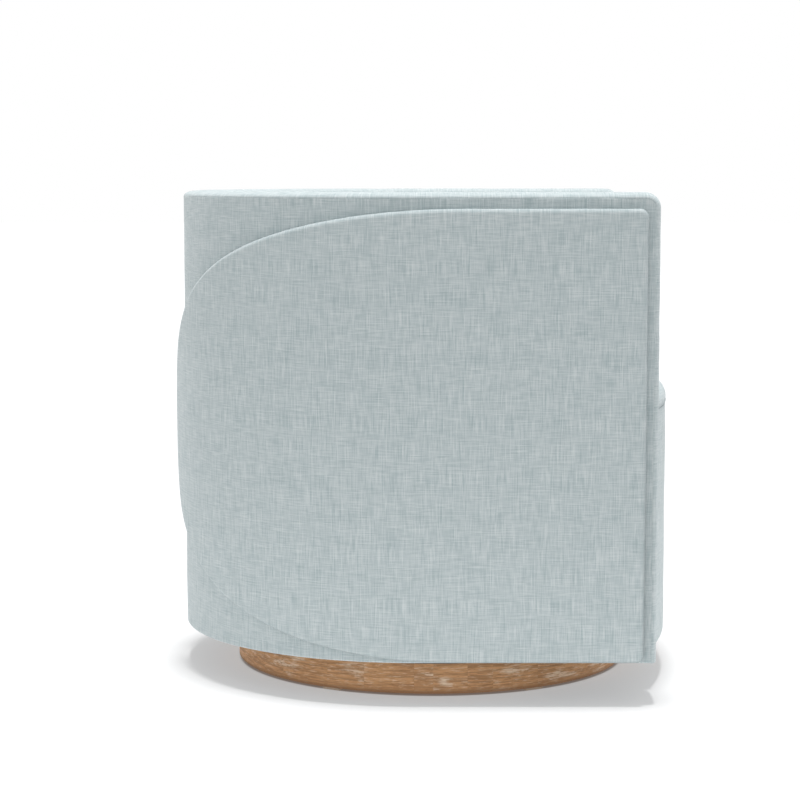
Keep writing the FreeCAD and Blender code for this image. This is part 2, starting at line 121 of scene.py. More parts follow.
class ChairOverlaySettings(bpy.types.PropertyGroup):
    """Padded overlays on the wall's sides."""

    thickness: length("Thickness", "How far an overlay stands off the wall", 0.0142, 0.004, 0.04)
    rim: length("Rim", "Rounding of an overlay's edge", 0.0065, 0.002, 0.0115)
    ellipse_length: length("Ellipse length", "Semi-axis of the elliptic end along the wall",
                           0.634, 0.2, 0.8)
    tip_gap: length("Tip gap", "From the back centreline to the tip, along the wall",
                    0.034, 0.0, 0.2)
    front_reveal: length("Front reveal", "Wall left bare in front of an overlay", 0.0215, 0.0, 0.1)
    top_reveal: length("Top reveal", "Wall left bare above an overlay, to the crown",
                       0.024, 0.01, 0.1)
    bottom_reveal: length("Bottom reveal", "Wall left bare below an overlay", 0.0023, 0.0, 0.1)
    front_corner: length("Front corner", "Radius of the two front corners", 0.012, 0.011, 0.1)


class ChairSeatSettings(bpy.types.PropertyGroup):
    """Tight seat and its bowed front."""

    edge_height: length("Edge height", "Top of the seat at its front edge", 0.457, 0.3, 0.6)
    crown: length("Crown", "Rise of the seat's middle over its edge", 0.012, 0.0, 0.05)
    front_roll: length("Front roll", "Rounding of the front edge", 0.023, 0.005, 0.026)
    side_roll: length("Side roll", "Rounding along the wall", 0.010, 0.002, 0.03)
    bow_radius: length("Bow radius", "Plan radius of the seat's front", 0.872, 0.5, 3.0)
    panel_thickness: length("Panel thickness", "Padded panel under the seat's front edge",
                            0.025, 0.005, 0.05)


class ChairFabricSettings(bpy.types.PropertyGroup):
    """Linen-look weave of the upholstery."""

    yarn: tone_of("Yarn", "Main colour of the cloth", (0.556, 0.619, 0.636))
    light_yarn: tone_of("Light yarn", "Thicker pale yarns", (0.750, 0.800, 0.805))
    deep_yarn: tone_of("Deep yarn", "Blue-green yarns between the others", (0.370, 0.465, 0.482))
    pitch: length("Pitch", "Distance between two yarns", 0.0011, 0.0003, 0.005)


class ChairWoodSettings(bpy.types.PropertyGroup):
    """Limed oak of the plinth."""

    oak: tone_of("Oak", "Colour of the bare wood", (0.590, 0.352, 0.190))
    lime: tone_of("Lime", "Pale wax left in the grain", (0.950, 0.780, 0.600))
    stave_count: bpy.props.IntProperty(
        name="Staves", description="Bent staves that the ring is glued from",
        default=21, min=4, max=60)


class ChairStageSettings(bpy.types.PropertyGroup):
    """Floor, light and camera."""

    camera_distance: length("Camera distance", "From the chair's middle to the camera",
                            3.673, 1.0, 10.0)
    camera_height: length("Camera height", "Height of the camera over the floor", 0.7936, 0.1, 5.0)
    camera_side: length("Camera side", "Place of the camera along the chair's depth",
                        BARREL_Y + 0.023025, -1.0, 1.0)
    camera_tilt: amount("Camera tilt", "How far the camera looks down",
                        0.1015, -0.5, 0.5, subtype="ANGLE")
    focal_pixels: amount("Focal length", "Focal length in pixels of an 800 pixel square",
                         2255.3, 500.0, 5000.0)
    sky: amount("Sky", "Level of the even light from all round", 0.508, 0.0, 2.0)
    rim_light: amount("Rim light", "Level of the two weak lamps beyond the chair", 0.40, 0.0, 5.0)
    overhead: amount("Overhead", "Level of the soft lamp straight above", 2.85, 0.0, 10.0)


GROUPS = {
    "chair_wall": ChairWallSettings,
    "chair_overlay": ChairOverlaySettings,
    "chair_seat": ChairSeatSettings,
    "chair_fabric": ChairFabricSettings,
    "chair_wood": ChairWoodSettings,
    "chair_stage": ChairStageSettings,
}


# Node graphs

def arithmetic(operation, swapped=False):
    """Operator of Socket that adds a Math node. A swapped one has its other value first."""
    def method(self, other):
        values = (other, self) if swapped else (self, other)
        return self.graph.maths(operation, *values)

    return method


class Socket:
    """An output socket on which arithmetic adds Math nodes."""

    def __init__(self, graph, socket):
        self.graph = graph
        self.socket = socket

    def of(self, name):
        """Another output of the same node."""
        return Socket(self.graph, self.socket.node.outputs[name])

    __add__ = arithmetic("ADD")
    __radd__ = arithmetic("ADD", True)
    __sub__ = arithmetic("SUBTRACT")
    __rsub__ = arithmetic("SUBTRACT", True)
    __mul__ = arithmetic("MULTIPLY")
    __rmul__ = arithmetic("MULTIPLY", True)
    __truediv__ = arithmetic("DIVIDE")
    __pow__ = arithmetic("POWER")


class Graph:
    """A node tree that grows by one method."""

    def __init__(self, tree):
        self.tree = tree

    def add(self, kind, settings=None, values=None, out=0):
        node = self.tree.nodes.new(kind)
        for name, value in (settings or {}).items():
            setattr(node, name, value)
        for name, value in (values or {}).items():
            if isinstance(value, Socket):
                self.tree.links.new(value.socket, node.inputs[name])
            else:
                node.inputs[name].default_value = value
        outputs = node.outputs
        return Socket(self, outputs[out]) if len(outputs) else node

    def maths(self, operation, *values):
        return self.add("ShaderNodeMath", {"operation": operation}, dict(enumerate(values)))

    def vector(self, *values):
        return self.add("ShaderNodeCombineXYZ", None, dict(enumerate(values)))

    def split(self, place):
        """x, y and z of a vector."""
        parts = self.add("ShaderNodeSeparateXYZ", None, {0: place})
        return parts, parts.of("Y"), parts.of("Z")

    def object_place(self):
        """x, y and z in the piece's own frame."""
        return self.split(self.add("ShaderNodeTexCoord").of("Object"))

    def ramp(self, value, low, high, soft=True):
        """0 at low and 1 at high."""
        kind = "SMOOTHSTEP" if soft else "LINEAR"
        return self.add("ShaderNodeMapRange", {"interpolation_type": kind},
                        {"Value": value, "From Min": low, "From Max": high})

    def mix(self, factor, first, second):
        """Blend of two colours."""
        return self.add("ShaderNodeMix", {"data_type": "RGBA"},
                        {0: factor, 6: first, 7: second}, out=2)

    def noise(self, x, y, z, detail=2.0, roughness=0.5):
        return self.add("ShaderNodeTexNoise", None,
                        {"Vector": self.vector(x, y, z), "Scale": 1.0, "Detail": detail,
                         "Roughness": roughness})

    def straight_rays(self):
        """1 for the rays that show a surface, and 0 for those that only light others."""
        rays = self.add("ShaderNodeLightPath")
        shown = self.maths("MAXIMUM", rays.of("Is Camera Ray"), rays.of("Is Glossy Ray"))
        return self.maths("MAXIMUM", shown, rays.of("Is Transmission Ray"))


def new_material(name):
    """A material with its graph and shader."""
    material = bpy.data.materials.new(name)
    material.use_nodes = True
    tree = material.node_tree
    shader = tree.nodes["Principled BSDF"]
    return material, Graph(tree), shader


def colour(values, share=(1.0, 1.0, 1.0)):
    """Colour for a socket, each part of it times its share."""
    return (*(c * k for c, k in zip(values, share)), 1.0)


def feed(graph, shader, **sockets):
    names = {"base": "Base Color", "roughness": "Roughness", "normal": "Normal"}
    for key, value in sockets.items():
        socket = shader.inputs[names[key]]
        if isinstance(value, Socket):
            graph.tree.links.new(value.socket, socket)
        else:
            socket.default_value = value


def bumped(graph, height, distance, strength=1.0):
    return graph.add("ShaderNodeBump", None,
                     {"Height": height, "Distance": distance, "Strength": strength})


def woven_fabric(name):
    """Heathered linen-look cloth on the piece's own UV map, in metres."""
    look = bpy.context.scene.chair_fabric
    material, graph, shader = new_material(name)
    u, v, _ = graph.split(graph.add("ShaderNodeUVMap", {"uv_map": "weave"}))
    per_metre = 1.0 / look.pitch
    drift = graph.noise(u * 9.0, v * 9.0, 4.0, 1.0) * 1.5
    u_thread = u * per_metre + drift
    v_thread = v * per_metre + drift

    # Tone of yarns that run along v or u. width counts in yarns, and run per metre of yarn.
    def warp(width, run, seed, detail=1.0):
        return graph.noise(u_thread * width, v * run, seed, detail)

    def weft(width, run, seed, detail=1.0):
        return graph.noise(u * run, v_thread * width, seed, detail)

    # Single yarns and groups of yarns
    single = warp(0.9, 42.0, 0.0) + weft(0.9, 42.0, 20.0)
    group = warp(0.56, 30.0, 31.0) + weft(0.56, 34.0, 52.0)
    tone = single * 0.25 + group * 0.25
    # Slubs: thick pale stretches and thin deep ones
    warp_slub = graph.ramp(warp(0.54, 26.0, 40.0, 0.0), 0.58, 0.72)
    weft_slub = graph.ramp(weft(0.54, 30.0, 60.0, 0.0), 0.58, 0.72)
    warp_deep = graph.ramp(warp(0.54, 22.0, 80.0, 0.0), 0.42, 0.28)
    weft_deep = graph.ramp(weft(0.54, 26.0, 95.0, 0.0), 0.42, 0.28)
    cloud = graph.noise(u * 70.0, v * 46.0, 7.0)

    deep = colour(look.deep_yarn)
    light = colour(look.light_yarn)
    base = graph.mix(graph.ramp(tone, 0.36, 0.64, False), deep, light)
    base = graph.mix(0.60, colour(look.yarn), base)
    base = graph.mix(graph.ramp(cloud, 0.52, 0.36) * 0.14, base, deep)
    base = graph.mix(warp_deep * 0.42 + weft_deep * 0.26, base, deep)
    base = graph.mix(warp_slub * 0.36 + weft_slub * 0.26, base, light)

    # Painted shade: fabric towards a seam is darkened towards the deep yarn
    painted_seam_shade = graph.add("ShaderNodeAttribute", {"attribute_name": "painted_seam_shade"}, None, out="Fac")
    base = graph.mix(painted_seam_shade * 0.55, base, colour(look.deep_yarn, (0.45, 0.45, 0.45)))

    # Over and under of the yarns, with raised slubs
    warp_wave = graph.maths("SINE", u_thread * math.tau)
    weft_wave = graph.maths("SINE", v_thread * math.tau)
    relief = warp_wave * weft_wave * 0.35 + warp_slub * 0.6 + weft_slub * 0.6 + tone
    feed(graph, shader, base=base, roughness=0.94, normal=bumped(graph, relief, 0.00016, 0.8))
    shader.inputs["Specular IOR Level"].default_value = 0.12
    shader.inputs["Sheen Weight"].default_value = 0.24
    shader.inputs["Sheen Roughness"].default_value = 0.45
    return material


def limed_oak(name):
    """Oak staves bent round the plinth, with grain along them and lime in the pores."""
    look = bpy.context.scene.chair_wood
    material, graph, shader = new_material(name)
    x, y, z = graph.object_place()
    angle = graph.maths("ARCTAN2", y - SWIVEL_Y, x)
    along = angle * RING_RADIUS

    # Staves of uneven length round the ring, each with its own tint
    swing = graph.maths("SINE", angle * 5.0 + 1.0) * 0.7
    sway = graph.maths("SINE", angle * 9.0 + 0.4) * 0.4
    stave = angle * (look.stave_count / math.tau) + swing + sway
    number = graph.maths("FLOOR", stave)
    tint = graph.add("ShaderNodeTexWhiteNoise", {"noise_dimensions": "2D"},
                     {"Vector": graph.vector(number)})
    share = stave - number
    joint = graph.ramp(graph.maths("MINIMUM", share, 1.0 - share), 0.010, 0.003)

    # Grain, which starts anew in each stave. Lime and embers go across the staves.
    slide = tint * 13.0
    grain_z = z + graph.noise(along * 6.0, z * 20.0, slide, 1.0) * 0.007
    figure = graph.noise(along * 15.0, grain_z * 300.0, slide, 4.0, 0.65)
    pores = graph.noise(along * 60.0, grain_z * 620.0, slide + 3.0, 2.0, 0.6)
    streak = graph.noise(along * 24.0, grain_z * 420.0, slide + 6.0)
    patch = graph.noise(along * 13.0, z * 40.0, 9.0, 5.0, 0.68)
    ember = graph.noise(along * 20.0, z * 70.0, 31.0, 3.0, 0.6)

    deep = colour(look.oak, (0.66, 0.56, 0.46))
    warm = colour(look.oak, (1.20, 1.08, 0.92))
    wax = colour(look.lime)
    base = graph.mix(graph.ramp(figure, 0.37, 0.60), deep, warm)
    base = graph.mix(0.25, base, colour(look.oak))
    base = graph.mix(tint * 0.14, base, warm)
    base = graph.mix(graph.ramp(ember, 0.50, 0.70) * 0.38, base, deep)
    lime = graph.ramp(patch, 0.52, 0.64) * (graph.ramp(streak, 0.38, 0.58) * 0.75 + 0.25)
    base = graph.mix(lime * 0.75, base, wax)
    base = graph.mix(graph.ramp(pores, 0.56, 0.68) * 0.45, base, wax)
    base = graph.mix(graph.ramp(pores, 0.45, 0.34) * 0.85, base, deep)
    # Painted shade: darker towards the lower edge, darkest at the very edge
    base = graph.mix(graph.ramp(z, 0.017, 0.004) * 0.75, base, deep)
    base = graph.mix(graph.ramp(z, 0.010, 0.004) * 0.7, base, colour(deep, (0.45, 0.45, 0.45)))
    base = graph.mix(joint * 0.14, base, deep)
    relief = pores * 0.6 + figure * 0.3 - joint * 0.5
    feed(graph, shader, base=base, roughness=graph.ramp(pores, 0.2, 0.8, False) * 0.18 + 0.56,
         normal=bumped(graph, relief, 0.0004, 0.6))
    shader.inputs["Specular IOR Level"].default_value = 0.3
    return material


def raw_wood(name, light, dark, ply_height=0.0):
    """Bare frame wood. A ply height adds the layers of plywood."""
    material, graph, shader = new_material(name)
    x, y, z = graph.object_place()
    light, dark = colour(light), colour(dark)
    grain = graph.noise(x * 12.0, y * 210.0, z * 210.0, 3.0, 0.6)
    cloud = graph.noise(x * 14.0, y * 14.0, z * 14.0)
    base = graph.mix(graph.ramp(grain, 0.35, 0.65), light, dark)
    base = graph.mix(graph.ramp(cloud, 0.45, 0.75) * 0.3, base, dark)
    relief = grain
    if ply_height:
        layer = graph.maths("PINGPONG", z, ply_height)
        stripe = graph.ramp(layer, ply_height * 0.35, ply_height * 0.65)
        base = graph.mix(stripe * 0.45, base, dark)
        relief = grain + stripe * 0.4
    feed(graph, shader, base=base, roughness=0.72, normal=bumped(graph, relief, 0.0002, 0.6))
    return material


def plated_metal(name, tone, roughness):
    """Zinc-plated or polished steel with faint brushing and worn spots."""
    material, graph, shader = new_material(name)
    x, y, z = graph.object_place()
    brushing = graph.noise(x * 90.0, y * 90.0, z * 1500.0)
    spots = graph.noise(x * 60.0, y * 60.0, z * 60.0, 3.0)
    base = graph.mix(graph.ramp(spots, 0.4, 0.7) * 0.5, colour(tone),
                     colour(tone, (0.72, 0.72, 0.72)))
    shader.inputs["Metallic"].default_value = 1.0
    feed(graph, shader, base=base, roughness=spots * 0.2 + (roughness - 0.05),
         normal=bumped(graph, brushing, 0.00005, 0.5))
    return material


def moulded_plastic(name, tone, roughness):
    """Grained plastic with paler scuffs."""
    material, graph, shader = new_material(name)
    place = graph.add("ShaderNodeTexCoord").of("Object")
    grain, scuff = [graph.add("ShaderNodeTexNoise", None,
                              {"Vector": place, "Scale": scale, "Detail": detail})
                    for scale, detail in ((1500.0, 2.0), (40.0, 3.0))]
    base = graph.mix(graph.ramp(scuff, 0.5, 0.75) * 0.4, colour(tone),
                     colour([c * 1.5 + 0.02 for c in tone]))
    feed(graph, shader, base=base, roughness=scuff * 0.2 + (roughness - 0.1),
         normal=bumped(graph, grain, 0.00008, 0.5))
    return material


def felted_cloth(name, tone):
    """Non-woven cloth, webbing or foam: matted fibres."""
    material, graph, shader = new_material(name)
    x, y, _ = graph.object_place()
    fibre = graph.noise(x * 900.0, y * 240.0, 0.0, 3.0, 0.7)
    cross = graph.noise(x * 240.0, y * 900.0, 5.0, 3.0, 0.7)
    matted = fibre + cross
    base = graph.mix(graph.ramp(matted, 0.8, 1.25), colour(tone),
                     colour([c * 2.2 + 0.015 for c in tone]))
    feed(graph, shader, base=base, roughness=0.95, normal=bumped(graph, matted, 0.0003, 0.8))
    return material


# Mesh building

def rounded_lines(low, high, corner, step, corner_steps=4):
    """Grid lines from low to high, finer within a corner radius of both ends."""
    turns = [corner * (1 - math.cos(math.pi / 2 * k / corner_steps))
             for k in range(corner_steps)]
    middle_low = low + corner
    middle_high = high - corner
    count = max(1, round((middle_high - middle_low) / step))
    middle = [middle_low + (middle_high - middle_low) * k / count for k in range(count + 1)]
    return [low + t for t in turns] + middle + [high - t for t in reversed(turns)]


def rounded_corners(grid, s_range, t_range, radii):
    """Moves the grid's square corners onto arcs. Radii: low s low t, low s high t,
    high s low t and high s high t."""
    out = grid.copy()
    for index, radius in enumerate(radii):
        if radius <= 0:
            continue
        s_side = -1 if index < 2 else 1
        t_side = -1 if index % 2 == 0 else 1
        s_centre = s_range[0] + radius if s_side < 0 else s_range[1] - radius
        t_centre = t_range[0] + radius if t_side < 0 else t_range[1] - radius
        p = (grid[..., 0] - s_centre) * s_side / radius
        q = (grid[..., 1] - t_centre) * t_side / radius
        inside = (p > 0) & (q > 0)
        p = np.clip(p, 0, 1)
        q = np.clip(q, 0, 1)
        s = s_centre + s_side * radius * p * np.sqrt(1 - q * q / 2)
        t = t_centre + t_side * radius * q * np.sqrt(1 - p * p / 2)
        out[..., 0] = np.where(inside, s, out[..., 0])
        out[..., 1] = np.where(inside, t, out[..., 1])
    return out


def panel_grid(s_range, t_range, radii, step, corner_steps=4):
    """Grid over a rectangle with round corners, as an array of (s, t)."""
    corner = max(max(radii), step * 0.5)
    s_lines = rounded_lines(s_range[0], s_range[1], corner, step, corner_steps)
    t_lines = rounded_lines(t_range[0], t_range[1], corner, step, corner_steps)
    grid = np.stack(np.meshgrid(s_lines, t_lines, indexing="ij"), axis=-1)
    return rounded_corners(grid, s_range, t_range, radii)


def tongue_grid(front, start, length, half, corner, step):
    """Grid over a rectangle from front to start, ended by half an ellipse. s runs forward to
    back and t across, from -half to half."""
    s_lines = rounded_lines(front, start, max(corner, 1e-4), step)
    # The last rounded lines aren't needed where the ellipse goes on
    s_lines = [s for s in s_lines if s <= start - corner] + [start]
    t_lines = np.array(rounded_lines(-half, half, max(corner, 1e-4), step))
    rect = np.stack(np.meshgrid(s_lines, t_lines, indexing="ij"), axis=-1)
    rect = rounded_corners(rect, (front, start), (-half, half), (corner, corner, 0, 0))
    count = max(6, round(length / step))
    u = np.linspace(0, 1, count + 1)[1:]
    u_grid, v_grid = np.meshgrid(u, t_lines / half, indexing="ij")
    x = u_grid * np.sqrt(1 - v_grid ** 2 / 2)
    y = v_grid * np.sqrt(1 - u_grid ** 2 / 2)
    tongue = np.stack([start + length * x, half * y], axis=-1)
    return np.concatenate([rect, tongue], axis=0)


def loop_of(grid):
    """Indices (i, j) round the grid's border, counter-clockwise in (s, t)."""
    rows, columns = grid.shape[:2]
    loop = [(i, 0) for i in range(rows)]
    loop += [(rows - 1, j) for j in range(1, columns)]
    loop += [(i, columns - 1) for i in range(rows - 2, -1, -1)]
    loop += [(0, j) for j in range(columns - 2, 0, -1)]
    return loop


def outward(points):
    """Outward direction at each point of a closed counter-clockwise outline."""
    ahead = np.roll(points, -1, axis=0) - points
    behind = points - np.roll(points, 1, axis=0)
    ahead /= np.linalg.norm(ahead, axis=1)[:, None] + 1e-12
    behind /= np.linalg.norm(behind, axis=1)[:, None] + 1e-12
    tangent = ahead + behind
    tangent /= np.linalg.norm(tangent, axis=1)[:, None] + 1e-12
    return np.stack([tangent[:, 1], -tangent[:, 0]], axis=1)


def border_of(grid):
    """Points round the grid's border, counter-clockwise in (s, t)."""
    return np.array([grid[i, j] for i, j in loop_of(grid)])


def closed_pad(name, grid, surface, crown, rings, back, painted_seam_shade):
    """Closed pad. grid is the flat part of its face, crown(s, t) its height there and back the
    height of its underside. surface(s, t, height) gives the place. A ring over the edge is
    (outset, height, slack), with slack as the extra length of its fabric, and the last argument
    is painted seam shade, which darkens the fabric's colour towards the seam in place of real
    shade. These may be numbers or arrays round the border."""
    rows, columns = grid.shape[:2]
    loop = [i * columns + j for i, j in loop_of(grid)]
    size = len(loop)
    flat = grid.reshape(-1, 2)
    s, t = flat[:, 0], flat[:, 1]
    border = border_of(grid)
    away = outward(border)
    places = [surface(s, t, crown(s, t))]
    maps = [flat]
    for outset, height, slack in rings:
        ring = border + away * np.reshape(outset, (-1, 1))
        places.append(surface(ring[:, 0], ring[:, 1], height))
        maps.append(ring + away * np.reshape(slack, (-1, 1)))
    places.append(surface(s, t, np.full(len(flat), back)))
    maps.append(flat)

    starts = [len(flat) + k * size for k in range(len(rings))]
    last = len(flat) + len(rings) * size
    face = [(a, a + columns, a + columns + 1, a + 1)
            for i in range(rows - 1) for a in range(i * columns, (i + 1) * columns - 1)]
    loops = [loop] + [range(k, k + size) for k in starts] + [[last + k for k in loop]]
    sides = [(near[m], far[m], far[(m + 1) % size], near[(m + 1) % size])
             for near, far in zip(loops, loops[1:]) for m in range(size)]
    under = [(last + a, last + d, last + c, last + b) for a, b, c, d in face]
    mesh = bpy.data.meshes.new(name)
    mesh.from_pydata([tuple(p) for p in np.concatenate(places)], [], face + sides + under)

    weave = np.concatenate(maps)
    corners = np.zeros(len(mesh.loops), dtype=np.int32)
    mesh.loops.foreach_get("vertex_index", corners)
    layer = mesh.uv_layers.new(name="weave")
    layer.data.foreach_set("uv", weave[corners].astype(np.float32).ravel())
    # Painted shade at the seam: depth holds how dark each ring's fabric is painted
    depth = np.zeros(len(weave), dtype=np.float32)
    for k, start in enumerate(starts, 1):
        depth[start:start + size] = painted_seam_shade * min(1.0, (k / (len(rings) - 2)) ** 1.5)
    mesh.attributes.new("painted_seam_shade", "FLOAT", "POINT").data.foreach_set("value", depth)
    return finished(mesh, name)


def edge_steps(rounding, depth, tuck, count=5):
    """Steps over an edge: a quarter round, a side down to the depth and a tuck under it. Each
    is (outset, height added, share kept of the face's height)."""
    steps = []
    for k in range(1, count + 1):
        turn = math.pi / 2 * k / count
        steps.append((rounding * math.sin(turn), -rounding * (1 - math.cos(turn)), 1.0))
    return steps + [(rounding, depth, 0.0), (rounding - tuck, depth - tuck * 0.6, 0.0)]


def padded_mesh(name, grid, surface, crown, steps, back, painted_seam_shade=1.0):
    """Closed pad with the same steps over its whole edge, and painted shade towards its seam."""
    heights = crown(*border_of(grid).T)
    rings = [(outset, heights * share + added, 0.0) for outset, added, share in steps]
    return closed_pad(name, grid, surface, crown, rings, back, painted_seam_shade)


def rolled_pad(name, grid, surface, crown, roll, waist, low):
    """Closed pad whose edge roll changes round its border, down to a waist and a low
    underside."""
    tuck = 0.0015
    count = 8
    heights = crown(*border_of(grid).T)
    fall = np.minimum(roll, heights - waist)
    rings = []
    for k in range(1, count + 1):
        turn = math.pi / 2 * k / count
        rings.append((roll * math.sin(turn), heights - fall * (1 - math.cos(turn))))
    rings.append((roll, np.minimum(heights - roll, waist)))
    rings.append((roll - tuck, np.full(len(roll), low)))
    rings = [(outset, height, (heights - height) * 0.6) for outset, height in rings]
    # Painted shade towards the seam, at half strength
    return closed_pad(name, grid, surface, crown, rings, low, painted_seam_shade=0.5)


def finished(mesh, name):
    """Object of the mesh, with faces outward and smooth."""
    work = bmesh.new()
    work.from_mesh(mesh)
    if work.calc_volume(signed=True) < 0:
        bmesh.ops.reverse_faces(work, faces=work.faces)
    work.to_mesh(mesh)
    work.free()
    mesh.polygons.foreach_set("use_smooth", [True] * len(mesh.polygons))
    mesh.update()
    piece = bpy.data.objects.new(name, mesh)
    bpy.context.scene.collection.objects.link(piece)
    return piece


def ripple(points, depth, size, seed):
    """Slight waves of stretched fabric."""
    return np.array([noise.noise(Vector((x / size, y / size, z / size + seed))) * depth
                     for x, y, z in points])


def wear(piece, material):
    piece.data.materials.clear()
    piece.data.materials.append(material)


def upholster(piece, nodes):
    """Common finish of an upholstered piece."""
    wear(piece, bpy.data.materials["linen_weave"])
    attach(piece, "chair")
    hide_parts(*nodes)


def wall_place(along, height, radius, bend_radius=BARREL_RADIUS):
    """Places on the wall at a length from the back centreline, positive on the left. The
    length is measured round the bend radius."""
    bend = bend_radius * math.pi / 2
    reach = np.abs(along)
    angle = np.clip(reach, 0, bend) / bend_radius
    forward = np.maximum(reach - bend, 0)
    x = np.sign(along) * radius * np.sin(angle)
    y = BARREL_Y + radius * np.cos(angle) - forward
    return np.stack([x, y, height], axis=-1)


class CHAIR_OT_wall_cover(bpy.types.Operator):
    """Fabric over a thin pad on the outside of the wall"""

    bl_idname = "chair.wall_cover"
    bl_label = "Wall cover"

    def execute(self, context):
        wall = context.scene.chair_wall
        edge = wall.seam_rounding
        reach = BEND + BARREL_Y - ARM_SEAM_Y - edge
        corner = wall.roll_radius - edge
        grid = panel_grid((-reach, reach), (BODY_BOTTOM + edge, SEAM_HEIGHT - edge),
                          (0.002, corner, 0.002, corner), PAD_STEP)

        def surface(along, height, lift):
            base = wall_place(along, height, BARREL_RADIUS + lift)
            wave = ripple(base, wall.softness, 0.07, 3.0) - wall.softness * 0.5
            return wall_place(along, height, BARREL_RADIUS + lift + wave)

        steps = edge_steps(edge, -wall.cover_thickness * 0.7, 0.001)
        # Only faint painted shade at the cover's seams
        piece = padded_mesh("outer_fabric", grid, surface, lambda s, t: 0 * s, steps,
                            back=-wall.cover_thickness + 0.0005, painted_seam_shade=0.04)
        upholster(piece, ["outer_cover"])
        return {"FINISHED"}


class CHAIR_OT_top_strip(bpy.types.Operator):
    """Crowned strip over the wall's edge, rolled down over both arm fronts"""

    bl_idname = "chair.top_strip"
    bl_label = "Top strip"

    def execute(self, context):
        wall = context.scene.chair_wall
        middle = (BARREL_RADIUS + WELL_RADIUS) / 2
        roll = wall.roll_radius
        low = BODY_BOTTOM
        roll_z = SEAM_HEIGHT - roll
        roll_y = ARM_SEAM_Y + roll
        # Up one arm front, over the roll, back along the arm and round half the bend
        up_steps, roll_steps, arm_steps, bend_steps = 46, 8, 28, 36
        path = []
        for k in range(up_steps):
            height = low + (roll_z - low) * k / up_steps
            path.append(((middle, ARM_SEAM_Y, height), (0, -1, 0)))
        for k in range(roll_steps + 1):
            turn = math.pi / 2 * k / roll_steps
            way = (0, -math.cos(turn), math.sin(turn))
            path.append(((middle, roll_y + way[1] * roll, roll_z + way[2] * roll), way))
        for k in range(1, arm_steps):
            place = roll_y + (BARREL_Y - roll_y) * k / arm_steps
            path.append(((middle, place, SEAM_HEIGHT), (0, 0, 1)))
        for k in range(bend_steps + 1):
            turn = math.pi / 2 * k / bend_steps
            path.append(((middle * math.cos(turn), BARREL_Y + middle * math.sin(turn),
                          SEAM_HEIGHT), (0, 0, 1)))
        path += [((-p[0], p[1], p[2]), way) for p, way in reversed(path[:-1])]

        line = scene_object("top_strip_path", [p for p, way in path],
                            [(k, k + 1) for k in range(len(path) - 1)])
        ways = line.data.attributes.new("crown_way", "FLOAT_VECTOR", "POINT")
        ways.data.foreach_set("vector", [c for p, way in path for c in way])
        piece = grown(line, strip_tree(), "top_strip", {
            "Half width": (BARREL_RADIUS - WELL_RADIUS) / 2, "Crown": wall.strip_crown,
            "Edge drop": 0.0013, "Depth": 0.006, "Fullness": 5.0,
            "Material": bpy.data.materials["linen_weave"]})
        waves = ripple([v.co for v in piece.data.vertices], wall.softness, 0.05, 9.0)
        for vertex, wave in zip(piece.data.vertices, waves):
            vertex.co += vertex.normal * (wave - wall.softness * 0.5)
        upholster(piece, ["top_band", "arm_front_left", "arm_front_right"])
        return {"FINISHED"}


def scene_object(name, points, edges, faces=()):
    """Object of a new mesh."""
    mesh = bpy.data.meshes.new(name)
    mesh.from_pydata(points, edges, faces)
    piece = bpy.data.objects.new(name, mesh)
    bpy.context.scene.collection.objects.link(piece)
    return piece


def new_tree(name, numbers):
    """Geometry node tree with named numbers and a material as inputs."""
    tree = bpy.data.node_groups.new(name, "GeometryNodeTree")
    face = tree.interface
    face.new_socket("Geometry", in_out="INPUT", socket_type="NodeSocketGeometry")
    for label, default in numbers.items():
        socket = face.new_socket(label, in_out="INPUT", socket_type="NodeSocketFloat")
        socket.default_value = default
    face.new_socket("Material", in_out="INPUT", socket_type="NodeSocketMaterial")
    face.new_socket("Geometry", in_out="OUTPUT", socket_type="NodeSocketGeometry")
    graph = Graph(tree)
    return graph, graph.add("NodeGroupInput")


def finished_tree(graph, geometry, entry):
    """Puts the material on the geometry, as the tree's result."""
    real = graph.add("GeometryNodeRealizeInstances", None, {"Geometry": geometry})
    dressed = graph.add("GeometryNodeSetMaterial", None,
                        {"Geometry": real, "Material": entry.of("Material")})
    graph.add("NodeGroupOutput", None, {"Geometry": dressed})
    return graph.tree


def captured(graph, geometry, value, name):
    """The geometry with a value kept at its points, and that value."""
    node = graph.add("GeometryNodeCaptureAttribute", {"domain": "POINT"}).socket.node
    node.capture_items.new("FLOAT", name)
    graph.tree.links.new(geometry.socket, node.inputs[0])
    graph.tree.links.new(value.socket, node.inputs[1])
    return Socket(graph, node.outputs[0]), Socket(graph, node.outputs[1])


def grown(base, tree, name, values):
    """Plain mesh piece that the tree makes of the base object, which is removed."""
    modifier = base.modifiers.new("grow", "NODES")
    modifier.node_group = tree
    for item in tree.interface.items_tree:
        if item.in_out == "INPUT" and item.name in values:
            modifier[item.identifier] = values[item.name]
    depsgraph = bpy.context.evaluated_depsgraph_get()
    mesh = bpy.data.meshes.new_from_object(base.evaluated_get(depsgraph),
                                           preserve_all_data_layers=True, depsgraph=depsgraph)
    mesh.name = name
    old = base.data
    bpy.data.objects.remove(base)
    bpy.data.meshes.remove(old)
    work = bmesh.new()
    work.from_mesh(mesh)
    bmesh.ops.remove_doubles(work, verts=work.verts, dist=1e-6)
    work.to_mesh(mesh)
    work.free()
    return finished(mesh, name)


